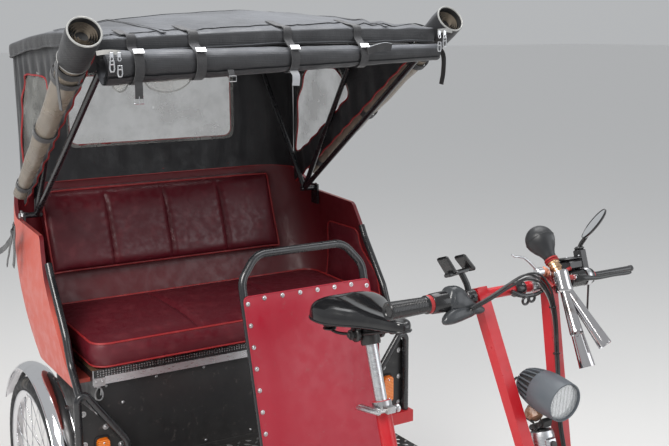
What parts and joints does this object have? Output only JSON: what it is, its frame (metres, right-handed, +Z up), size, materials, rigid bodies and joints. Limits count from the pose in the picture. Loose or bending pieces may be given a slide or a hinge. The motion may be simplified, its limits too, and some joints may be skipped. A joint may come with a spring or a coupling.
{
  "type": "cycle rickshaw",
  "caption": "Pedal-driven passenger rickshaw: front steered wheel, rider's saddle, hooded bench between spoked rear wheels.",
  "frame": {"origin": "on the ground under the middle of the overall length and width", "axes": "+X forward to the steered wheel, +Y to the vehicle's left, +Z up"},
  "size_m": [2.565, 1.1778, 1.7485],
  "materials": {
    "aluminium": "satin",
    "black_paint": "satin",
    "black_plastic": "gloss",
    "black_tube": "worn gloss",
    "board": "painted ply",
    "chrome": "polished",
    "clear": "clear",
    "crimson": "satin",
    "curtain": "clear sheet gone yellow, rolled",
    "orange_lens": "moulded",
    "red_lens": "moulded",
    "red_tube": "gloss",
    "rubber": "matte",
    "shell": "sun-faded",
    "steel": "satin",
    "tyre": "matte",
    "upholstery": "vinyl",
    "vinyl": "coated, matte"
  },
  "bodies": {
    "chassis": {"main_frame": "red_tube", "bearing_cups": "steel", "axle_housings": "black_paint", "chain": "steel", "seat_post": "aluminium", "seat_clamp": "steel", "saddle": "black_plastic", "saddle_springs": "black_paint", "hand_hoop": "black_tube", "hoop_panel": "crimson", "floor_pan": "black_paint", "side_rails": "black_tube", "front_panels": "black_paint", "front_indicators": "orange_lens", "bench_box": "black_paint", "lid_hinge": "steel", "body_back": "shell", "body_sides": "shell", "back_cushion": "upholstery", "side_pads": "upholstery", "rear_mudguards": "chrome", "rear_lamps": "red_lens", "hood_roof": "vinyl", "hood_back": "vinyl", "hood_sides": "vinyl", "hood_windows": "clear", "hood_frame": "black_tube", "front_roll": "vinyl", "side_rolls": "curtain"},
    "steering": {"fork": "red_tube", "front_mudguard": "chrome", "stem": "aluminium", "handlebar_riser": "red_tube", "handlebar": "red_tube", "right_grip": "black_plastic", "shift_unit": "black_plastic", "phone_holder": "black_plastic", "gear_lever": "steel", "brake_reservoir": "black_plastic", "horn": "chrome", "mirror": "black_plastic", "headlamp": "black_plastic", "lamp_lens": "clear", "cable_bundle": "rubber"},
    "front_wheel_set": {"front_wheel": "chrome", "front_tyre": "tyre"},
    "rear_wheel_set_right": {"rear_wheel_right": "chrome", "rear_tyre_right": "tyre", "half_shaft_right": "steel"},
    "rear_wheel_set_left": {"rear_wheel_left": "chrome", "rear_tyre_left": "tyre", "half_shaft_left": "steel"},
    "crank": {"crankset": "steel"},
    "right_pedal": {"pedal_right": "black_plastic"},
    "left_pedal": {"pedal_left": "black_plastic"},
    "bench_lid": {"seat_lid": "board", "seat_cushion": "upholstery", "lid_bar": "aluminium"}
  },
  "joints": [
    {"name": "steering_turn", "type": "hinge", "parent": "chassis", "child": "steering", "pos_m": [0.6525, 0, 1.16], "axis": [-0.3107, 0, 0.9505], "range_deg": [-40, 40]},
    {"name": "front_wheel_spin", "type": "hinge", "parent": "steering", "child": "front_wheel_set", "pos_m": [0.9815, 0, 0.301], "axis": [0, 1, 0], "continuous": true},
    {"name": "rear_wheel_right_spin", "type": "hinge", "parent": "chassis", "child": "rear_wheel_set_right", "pos_m": [-0.9725, 0, 0.301], "axis": [0, 1, 0], "continuous": true},
    {"name": "rear_wheel_left_spin", "type": "hinge", "parent": "chassis", "child": "rear_wheel_set_left", "pos_m": [-0.9725, 0, 0.301], "axis": [0, 1, 0], "continuous": true},
    {"name": "crank_turn", "type": "hinge", "parent": "chassis", "child": "crank", "pos_m": [0.3485, 0, 0.3], "axis": [0, 1, 0], "continuous": true},
    {"name": "pedal_right_spin", "type": "hinge", "parent": "crank", "child": "right_pedal", "pos_m": [0.1785, -0.066, 0.3], "axis": [0, 1, 0], "continuous": true},
    {"name": "pedal_left_spin", "type": "hinge", "parent": "crank", "child": "left_pedal", "pos_m": [0.5185, 0.066, 0.3], "axis": [0, 1, 0], "continuous": true},
    {"name": "bench_lid_lift", "type": "hinge", "parent": "chassis", "child": "bench_lid", "pos_m": [-1.0275, 0, 0.7573], "axis": [0, -1, 0], "range_deg": [0, 55]}
  ]
}
